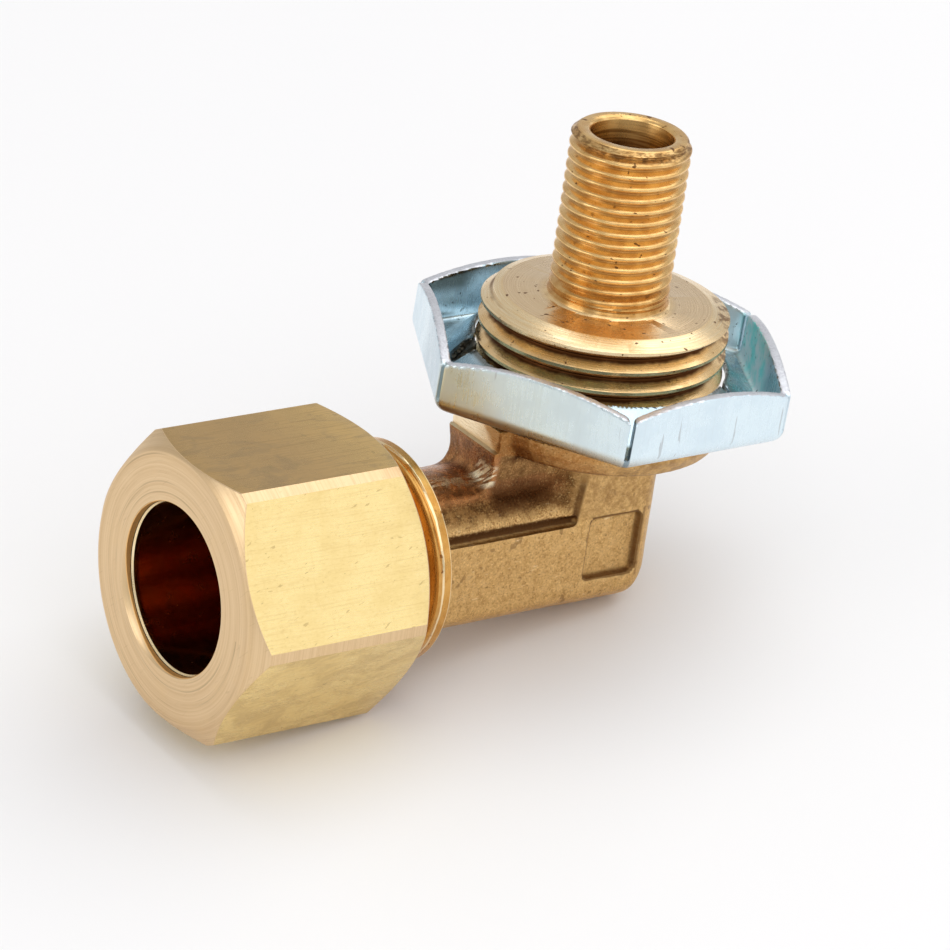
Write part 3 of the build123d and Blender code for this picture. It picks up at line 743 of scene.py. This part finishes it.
# the top flat painted darker: partly tarnish, partly painted shade, darker towards the mouth
col = m.mix(m.f("MULTIPLY", top, 0.88), col, m.mix(along, (0.54, 0.335, 0.135), (0.76, 0.50, 0.180)))
col = m.mix(m.f("MULTIPLY", top, m.step(lines, 0.50, 0.68, 0.0, 0.5)), col, (0.36, 0.235, 0.095))
# painted shade on the lower flat, in mottled patches
under = m.step(m.vm("DOT_PRODUCT", m.vec(m.x, m.y, zc), (0.0, math.cos(math.radians(211.4)), math.sin(math.radians(211.4)))), 10.05, 10.2)
col = m.mix(m.f("MULTIPLY", under, m.step(blot, 0.40, 0.62, 0.12, 0.55)), col, (0.56, 0.385, 0.155))
col = m.mix(m.f("MULTIPLY", top, m.step(blot, 0.50, 0.64, 0.0, 0.45)), col, (0.42, 0.29, 0.14))
scr = m.noise(m.vec(m.f("MULTIPLY", m.x, 0.35), m.f("MULTIPLY", m.y, 2.6), m.f("MULTIPLY", m.z, 2.6)), 1.0, 2, 0.5)
mark = m.f("MULTIPLY", m.step(scr, 0.70, 0.74), m.step(speck, 0.45, 0.6))
dash = m.noise(m.vec(m.f("MULTIPLY", m.f("ADD", m.x, m.z), 0.8), m.f("MULTIPLY", m.y, 0.8), m.f("MULTIPLY", m.f("SUBTRACT", m.z, m.f("MULTIPLY", m.x, 0.4)), 3.6)), 1.0, 2, 0.5)
col = m.mix(m.f("MULTIPLY", m.step(dash, 0.69, 0.73), 0.5), col, (0.46, 0.32, 0.13))
col = m.mix(m.f("MULTIPLY", mark, 0.55), col, (0.45, 0.31, 0.12))
col = m.mix(m.step(speck, 0.70, 0.75, 0.0, 0.65), col, (0.38, 0.26, 0.10))
rough = m.f("ADD", m.step(cloud, 0.3, 0.7, 0.24, 0.33), m.step(lines, 0.3, 0.7, -0.03, 0.05))
nb = m.bump(lines, 0.010 * MM, 0.75)
nb = m.bump(cross, 0.006 * MM, 0.5, nb)
nut_flat = m.done(col, rough, nb)

m = Mat("nut_turned", Metallic=1.0)
zc = m.f("SUBTRACT", m.z, AX)
rho = m.f("SQRT", m.f("ADD", m.f("MULTIPLY", m.y, m.y), m.f("MULTIPLY", zc, zc)))
slow = m.f("MULTIPLY", m.noise(m.P, 0.2, 1), 2.0)
marks = m.noise(m.vec(m.f("MULTIPLY", rho, 8.0), m.f("MULTIPLY", m.x, 8.0), slow), 1.0, 4, 0.65)
cloud = m.noise(m.P, 0.4, 4, 0.6)
speck = m.noise(m.P, 3.0, 3, 0.6)
col = m.mix(m.step(marks, 0.35, 0.7), (0.79, 0.575, 0.335), (0.70, 0.495, 0.275))
col = m.mix(m.step(cloud, 0.5, 0.75, 0.0, 0.3), col, (0.78, 0.55, 0.28))
col = m.mix(m.step(speck, 0.74, 0.78, 0.0, 0.6), col, (0.45, 0.29, 0.12))
land = m.step(rho, 6.60, 6.55)
col = m.mix(land, col, (0.92, 0.56, 0.21))
hair = m.noise(m.vec(m.f("MULTIPLY", m.x, 2.0), m.f("MULTIPLY", m.f("ADD", m.y, zc), 4.5), m.f("MULTIPLY", m.f("SUBTRACT", m.y, zc), 0.35)), 1.0, 3, 0.6)
col = m.mix(m.step(hair, 0.62, 0.72, 0.0, 0.30), col, (0.50, 0.34, 0.17))
arc = m.noise(m.vec(m.f("MULTIPLY", rho, 5.0), m.f("MULTIPLY", m.f("ARCTAN2", zc, m.y), 0.5), m.f("MULTIPLY", m.x, 0.5)), 1.0, 3, 0.6)
col = m.mix(m.f("MULTIPLY", m.step(arc, 0.59, 0.67, 0.0, 0.5), m.step(m.x, NUT_FRONT + 0.08, NUT_FRONT + 0.02)), col, (0.40, 0.28, 0.15))
nb = m.bump(marks, 0.010 * MM, 0.7)
nb = m.bump(hair, 0.006 * MM, 0.5, nb)
nut_turned = m.done(col, m.f("ADD", m.step(marks, 0.3, 0.7, 0.30, 0.42), m.f("MULTIPLY", land, 0.25)), nb)

m = Mat("bore_brass", Metallic=1.0)
zc = m.f("SUBTRACT", m.z, AX)
cloud = m.noise(m.P, 0.7, 4, 0.6)
along_x = m.noise(m.vec(m.f("MULTIPLY", m.x, 0.10), m.f("MULTIPLY", m.y, 0.7), m.f("MULTIPLY", m.z, 0.7)), 1.0, 3, 0.55)
around_z = m.noise(m.vec(m.f("MULTIPLY", m.x, 0.15), m.f("MULTIPLY", m.y, 0.15), m.f("MULTIPLY", m.z, 6.0)), 1.0, 3, 0.55)
deep = m.step(m.x, -12.0, -16.0)
mach = m.mix(deep, around_z, along_x)
# painted shade: the bores are painted dark brown
col = m.mix(m.step(around_z, 0.42, 0.60), (0.50, 0.31, 0.115), (0.22, 0.115, 0.034))
# painted shade, darker further down the nipple's bore
col = m.mix(m.step(m.z, 20.8, 18.2), col, (0.13, 0.045, 0.010))
col = m.mix(deep, col, m.mix(m.step(along_x, 0.40, 0.66), (0.36, 0.13, 0.040), (0.60, 0.27, 0.085)))
bore = m.done(col, m.f("ADD", m.step(cloud, 0.3, 0.7, 0.20, 0.32), m.f("MULTIPLY", deep, -0.04)), m.bump(mach, 0.006 * MM, 0.5))

# zinc-plated sheet in the lock nut's own frame
m = Mat("zinc", Metallic=1.0)
lz = m.f("SUBTRACT", m.vm("DOT_PRODUCT", m.P, tuple(LN_N)), 0.775)
rho = m.f("SQRT", m.f("ADD", m.f("MULTIPLY", m.x, m.x), m.f("MULTIPLY", m.y, m.y)))
ang = m.f("ARCTAN2", m.y, m.x)
brush = m.noise(m.vec(m.f("MULTIPLY", m.x, 4.0), m.f("MULTIPLY", m.y, 4.0), m.f("MULTIPLY", m.z, 0.35)), 1.0, 4, 0.65)
cloud = m.noise(m.P, 0.35, 4, 0.6)
speck = m.noise(m.P, 2.3, 3, 0.6)
hexd = None
for k in range(6):
    a = math.radians(30 + TURN + 60 * k)
    d = m.vm("DOT_PRODUCT", m.P, tuple(LN_X * math.cos(a) + LN_Y * math.sin(a)))
    hexd = d if hexd is None else m.f("MAXIMUM", hexd, d)
inner = m.step(hexd, 12.85, 12.70)
left = m.f("MULTIPLY", m.step(m.x, -11.0, -12.6), m.step(m.y, -0.6, 0.2))
col = m.mix(m.step(cloud, 0.35, 0.7), (0.76, 0.885, 0.945), (0.70, 0.825, 0.90))
col = m.mix(m.step(brush, 0.52, 0.72, 0.0, 0.4), col, (0.66, 0.75, 0.80))
col = m.mix(m.f("MULTIPLY", left, 0.8), col, (0.56, 0.66, 0.72))
# yellow tint on the front left wall, stronger along its foot
t1 = m.f("MULTIPLY", m.f("MULTIPLY", m.step(m.x, -5.0, -11.5), m.step(m.y, 0.5, -0.8)), m.f("SUBTRACT", 1.0, inner))
col = m.mix(m.f("MULTIPLY", t1, m.step(cloud, 0.35, 0.6, 0.50, 0.35)), col, (0.64, 0.69, 0.59))
foot = m.f("MULTIPLY", m.f("MULTIPLY", m.step(lz, 1.35, 0.45), m.step(m.y, 0.8, -0.5)), m.step(m.x, -3.0, -10.0))
col = m.mix(m.f("MULTIPLY", foot, 0.85), col, (0.42, 0.31, 0.17))
# inside: steel blue, dark specks, green cast on the right wall
col = m.mix(m.f("MULTIPLY", inner, 0.72), col, m.mix(m.step(cloud, 0.35, 0.65), (0.50, 0.64, 0.71), (0.34, 0.45, 0.50)))
green = m.f("MULTIPLY", m.f("MULTIPLY", inner, m.step(ang, -0.75, -0.5)), m.f("MULTIPLY", m.step(ang, 0.10, -0.02), m.step(hexd, 12.2, 12.45)))
col = m.mix(m.f("MULTIPLY", green, 0.85), col, m.mix(m.step(cloud, 0.42, 0.6), (0.80, 0.95, 0.95), (0.30, 0.92, 0.88)))
pale = m.f("MULTIPLY", m.f("MULTIPLY", inner, m.step(ang, 0.02, 0.1)), m.f("MULTIPLY", m.step(ang, 1.1, 1.0), m.step(hexd, 12.2, 12.45)))
col = m.mix(m.f("MULTIPLY", pale, 0.85), col, (0.84, 0.93, 0.95))
dirty = m.f("MULTIPLY", m.f("MULTIPLY", inner, m.step(m.y, 9.0, 10.5)), m.f("MULTIPLY", m.step(lz, 2.6, 3.8), m.step(m.x, -2.0, -4.5)))
col = m.mix(m.f("MULTIPLY", dirty, 0.85), col, (0.11, 0.12, 0.10))
col = m.mix(m.f("MULTIPLY", inner, m.step(speck, 0.635, 0.69, 0.0, 0.85)), col, (0.07, 0.09, 0.09))
# painted shadow along the hole's lip, where it meets the boss thread
edge = m.step(rho, 10.15, 9.85)
col = m.mix(m.f("MULTIPLY", edge, 0.8), col, (0.15, 0.14, 0.11))
# painted shade: the first slit and the sheet beneath it painted near-black
slot = m.f("MULTIPLY", m.step(m.vm("DISTANCE", m.P, (-9.05, 4.25, 2.7)), 1.7, 1.2), m.step(m.f("ABSOLUTE", m.f("ADD", m.f("MULTIPLY", m.x, 0.4226), m.f("MULTIPLY", m.y, 0.9063))), 0.68, 0.60))
col = m.mix(m.f("MULTIPLY", slot, 0.95), col, (0.05, 0.035, 0.015))
jaw = m.f("MULTIPLY", m.step(rho, 11.8, 11.0), m.step(ang, -2.6, -2.2))
jaw = m.f("MULTIPLY", jaw, m.step(ang, -1.3, -1.6))
col = m.mix(m.f("MULTIPLY", jaw, m.step(rho, 13.6, 12.8)), col, (0.52, 0.64, 0.70))
seam = None
for k in range(3):
    a = math.radians(90 + TURN + 60 * k)
    d = m.f("ABSOLUTE", m.vm("DOT_PRODUCT", m.P, tuple(LN_X * math.cos(a) + LN_Y * math.sin(a))))
    seam = d if seam is None else m.f("MINIMUM", seam, d)
seam = m.f("MULTIPLY", m.step(seam, 0.25, 0.17), m.step(rho, 12.6, 13.4))
col = m.mix(m.f("MULTIPLY", seam, m.f("ADD", m.f("MULTIPLY", m.f("MULTIPLY", m.step(m.y, -11.0, -12.0), m.step(m.x, 3.0, 0.0)), 0.6), 0.25)), col, (0.20, 0.27, 0.32))
# grey sheared rims
tz = m.f("SUBTRACT", m.f("SQRT", m.f("ADD", m.f("MULTIPLY", m.x, m.x), m.f("MULTIPLY", m.y, m.y))), hexd)
scr = m.noise(m.vec(m.f("MULTIPLY", m.x, 2.2), m.f("MULTIPLY", m.y, 2.2), m.f("MULTIPLY", m.z, 0.25)), 1.0, 2, 0.5)
col = m.mix(m.f("MULTIPLY", m.step(scr, 0.68, 0.72, 0.0, 0.6), m.f("SUBTRACT", 1.0, inner)), col, (0.45, 0.47, 0.48))
nb = m.bump(brush, 0.0045 * MM, 0.7)
zinc = m.done(col, m.f("ADD", m.f("ADD", m.step(cloud, 0.3, 0.7, 0.22, 0.31), m.f("MULTIPLY", m.f("MAXIMUM", green, pale), 0.28)), m.step(brush, 0.3, 0.7, -0.02, 0.06)), nb)

m = Mat("zinc_rim", Metallic=1.0)
grain = m.noise(m.P, 6.0, 4, 0.65)
slow = m.noise(m.P, 0.6, 3, 0.6)
col = m.mix(m.step(grain, 0.35, 0.7), (0.74, 0.75, 0.79), (0.56, 0.57, 0.61))
col = m.mix(m.step(slow, 0.45, 0.65, 0.0, 0.5), col, (0.78, 0.80, 0.84))
rim = m.done(col, m.step(grain, 0.3, 0.7, 0.32, 0.48), m.bump(grain, 0.02 * MM, 0.8))

# ============================================================ which face has which finish
elbow.data.materials.clear()
for mat in (forged, turned, bore, milled, turned_x):
    elbow.data.materials.append(mat)
c, nrm = centres(elbow), normals(elbow)
rho = np.hypot(c[:, 0], c[:, 1])
tube = np.hypot(c[:, 1], c[:, 2] - AX)
idx = np.zeros(len(c), np.int32)
idx[(c[:, 2] > -0.02) & (c[:, 0] > -10.7)] = 1
idx[(c[:, 0] < RING_X + 0.01) & (tube > 6.43)] = 4
idx[(c[:, 0] < -10.6) & (c[:, 0] > -11.2) & (c[:, 2] > -2.0) & ((nrm[:, 0] < -0.9) | (nrm[:, 2] > 0.4))] = 3
inside = ((rho < 3.2) & (c[:, 2] < 21.0) & (c[:, 2] > AX - 4)) | ((tube < 6.43) & (c[:, 0] < -20.1)) | ((tube < 3.21) & (c[:, 0] < 3.2))
idx[inside] = 2
elbow.data.polygons.foreach_set("material_index", idx)

for mat in (nut_flat, nut_turned, bore):
    nut.data.materials.append(mat)
c, nrm = centres(nut), normals(nut)
tube = np.hypot(c[:, 1], c[:, 2] - AX)
idx = np.ones(len(c), np.int32)
flat = np.zeros(len(c), bool)
for k in range(6):
    t = math.radians(31.4 + 60 * k)
    flat |= (nrm[:, 1] * math.cos(t) + nrm[:, 2] * math.sin(t)) > 0.9995
idx[flat & (tube > 10)] = 0
idx[tube < 9.05] = np.where((nrm[tube < 9.05, 0] < -0.3) | (c[tube < 9.05, 0] < NUT_FRONT + 0.56), 1, 2)
nut.data.polygons.foreach_set("material_index", idx)
lock.data.materials.append(zinc)
lock.data.materials.append(rim)
c, nrm = centres(lock) - LN_O, normals(lock)
lock.data.polygons.foreach_set("material_index", ((nrm @ LN_N > 0.75) & (c @ LN_N > 3.6) & (np.hypot(c[:, 0], c[:, 1]) > 12.2)).astype(np.int32))
sl.data.materials.append(turned_s)
sl.data.materials.append(bore)
c = centres(sl)
sl.data.polygons.foreach_set("material_index", (np.hypot(c[:, 1], c[:, 2] - AX) < 6.43).astype(np.int32))

for ob, node, body, slot in ((elbow, "elbow_body", "elbow", "forged_brass"), (nut, "compression_nut", "nut", "nut_brass"), (sl, "compression_sleeve", "sleeve", "sleeve_brass"), (lock, "lock_nut", "lock_nut", "zinc_steel")):
    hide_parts(node)
    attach(ob, body)

# ============================================================ floor
up = Vector((-0.157, -0.024, 0.987)).normalized()
ex = (Vector((1, 0, 0)) - up * up.x).normalized()
ey = up.cross(ex)
foot = Vector((-20.94, 0, -20.37)) * MM
bpy.ops.mesh.primitive_plane_add(size=4.0)
floor = bpy.context.object
floor.name = "floor"
floor.matrix_world = Matrix.Translation(foot) @ Matrix((ex, ey, up)).transposed().to_4x4()
m = Mat("floor_paper", Metallic=0.0)
m.b.inputs["Specular IOR Level"].default_value = 0.3
tex = m.noise(m.P, 0.02, 3)
floor.data.materials.append(m.done(m.mix(tex, (0.88, 0.872, 0.872), (0.895, 0.888, 0.888)), 0.6))

# ============================================================ light
sc = bpy.context.scene
sc.view_settings.view_transform = "Standard"
sc.view_settings.look = "None"
world = bpy.data.worlds.new("studio")
sc.world = world
world.use_nodes = True
world.node_tree.nodes["Background"].inputs[0].default_value = (0.98, 0.985, 1.0, 1)
world.node_tree.nodes["Background"].inputs[1].default_value = 0.61
AIM = Vector((-10, 0, -6)) * MM


def softbox(name, az, el, dist, size, size_y, radiance, color=(1, 1, 1)):
    a, e = math.radians(az), math.radians(el)
    d = ex * (math.cos(e) * math.cos(a)) + ey * (math.cos(e) * math.sin(a)) + up * math.sin(e)
    L = bpy.data.lights.new(name, "AREA")
    L.shape, L.size, L.size_y = "RECTANGLE", size, size_y
    L.energy = radiance * math.pi * size * size_y
    L.color = color
    ob = bpy.data.objects.new(name, L)
    sc.collection.objects.link(ob)
    ob.location = AIM + d * dist
    ob.rotation_euler = d.to_track_quat("Z", "Y").to_euler()
    return ob


softbox("right", -56, 19, 0.9, 0.8, 0.5, 0.54)
softbox("left", 170, 24, 0.9, 0.5, 0.5, 1.4)
softbox("top", 5, 61, 0.9, 1.05, 1.05, 1.10)
softbox("front", -108, 50, 0.9, 0.95, 0.9, 0.90)
softbox("back", 12, 5, 1.1, 0.5, 0.16, 0.50)

# ============================================================ camera
cam = bpy.data.cameras.new("camera")
cam.sensor_fit, cam.sensor_width = "HORIZONTAL", 36.0
cam.lens = 36.0 * 4649.006 / 950
cam.clip_start, cam.clip_end = 0.01, 20
co = bpy.data.objects.new("camera", cam)
sc.collection.objects.link(co)
right = Vector((0.80963451, -0.57239864, 0.12981432))
down = Vector((-0.14528356, -0.40973583, -0.90056051))
ahead = Vector((0.56866919, 0.71026499, -0.41489638))
rot = Matrix((right, -down, -ahead)).transposed() @ Matrix.Rotation(-1.0 / 4649.0, 3, "X")
co.matrix_world = Matrix.Translation(Vector((-209.27100635, -248.62857049, 140.25248971)) * MM) @ rot.to_4x4()
sc.camera = co
